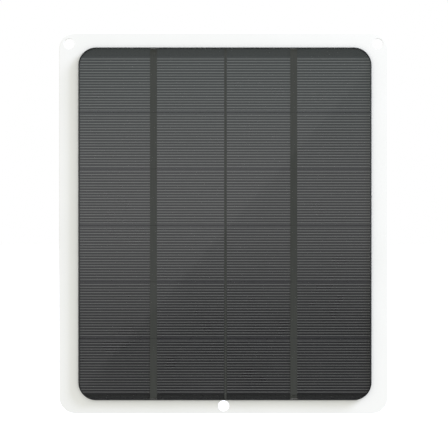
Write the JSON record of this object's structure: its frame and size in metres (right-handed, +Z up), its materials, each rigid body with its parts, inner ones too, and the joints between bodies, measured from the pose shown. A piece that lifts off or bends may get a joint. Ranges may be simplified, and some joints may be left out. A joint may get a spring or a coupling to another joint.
{
  "type": "flexible solar sheet",
  "caption": "Flexible solar sheet: a raised black laminate of cells on a thin white carrier with punched hanging holes, and a USB output box with a dust cover on its back.",
  "frame": {"origin": "midway between the centres of the two top holes, on the carrier's rear face", "axes": "+X to the right as seen from the front, +Y from the front towards the back, +Z up the sheet; the cells face -Y"},
  "size_m": [0.1782, 0.017, 0.206],
  "materials": {
    "white_board": "satin",
    "clear_film": "semi-gloss, clear over black",
    "clear_layer": "clear",
    "black_layer": "matte",
    "black_seal": "satin",
    "silicon": "satin, fine printed grid lines",
    "ribbon": "dark tinned copper",
    "foam_tape": "matte foam",
    "box_plastic": "fine moulded texture",
    "rubber": "matte",
    "steel": "plated",
    "circuit_board": "solder mask",
    "white_plastic": "moulded",
    "chip_plastic": "moulded",
    "ferrite": "matte",
    "can_metal": "satin",
    "wire_sleeve_red": "satin",
    "wire_sleeve_black": "satin"
  },
  "bodies": {
    "upper_sheet": {"carrier_upper": "white_board", "front_film_upper": "clear_film", "clear_layer_upper": "clear_layer", "black_layer_upper": "black_layer", "edge_seal_upper": "black_seal", "cell_left_1": "silicon", "cell_left_2": "silicon", "cell_left_3": "silicon", "cell_left_4": "silicon", "cell_right_1": "silicon", "cell_right_2": "silicon", "cell_right_3": "silicon", "cell_right_4": "silicon", "ribbon_left_top": "ribbon", "ribbon_left_1": "ribbon", "ribbon_left_2": "ribbon", "ribbon_left_3": "ribbon", "ribbon_left_4_above": "ribbon", "ribbon_right_top": "ribbon", "ribbon_right_1": "ribbon", "ribbon_right_2": "ribbon", "ribbon_right_3": "ribbon", "ribbon_right_4_above": "ribbon", "positive_lead": "ribbon", "negative_lead": "ribbon", "box_adhesive_pad": "foam_tape", "box_base": "box_plastic", "box_lid": "box_plastic", "box_seal": "rubber", "lid_screw_1": "steel", "lid_screw_2": "steel", "lid_screw_3": "steel", "lid_screw_4": "steel", "usb_shell": "steel", "cover_pin": "steel", "circuit_board": "circuit_board", "usb_insulator": "white_plastic", "regulator_chip": "chip_plastic", "blocking_diode": "chip_plastic", "power_inductor": "ferrite", "smoothing_capacitor": "can_metal", "positive_wire": "wire_sleeve_red", "negative_wire": "wire_sleeve_black"},
    "lower_sheet": {"carrier_lower": "white_board", "front_film_lower": "clear_film", "clear_layer_lower": "clear_layer", "black_layer_lower": "black_layer", "edge_seal_lower": "black_seal", "cell_left_5": "silicon", "cell_left_6": "silicon", "cell_right_5": "silicon", "cell_right_6": "silicon", "ribbon_left_4_below": "ribbon", "ribbon_left_5": "ribbon", "ribbon_left_bottom": "ribbon", "ribbon_right_4_below": "ribbon", "ribbon_right_5": "ribbon", "ribbon_right_bottom": "ribbon", "string_link": "ribbon"},
    "port_cover": {"port_cover": "rubber"}
  },
  "joints": [
    {"name": "sheet_flex", "type": "hinge", "parent": "upper_sheet", "child": "lower_sheet", "pos_m": [0, -0.00128, -0.1289], "axis": [1, 0, 0], "range_deg": [-15, 15], "stiffness_Nm_per_rad": 1.5},
    {"name": "port_cover_hinge", "type": "hinge", "parent": "upper_sheet", "child": "port_cover", "pos_m": [0, 0.0105, -0.0538], "axis": [1, 0, 0], "range_deg": [0, 120]}
  ]
}
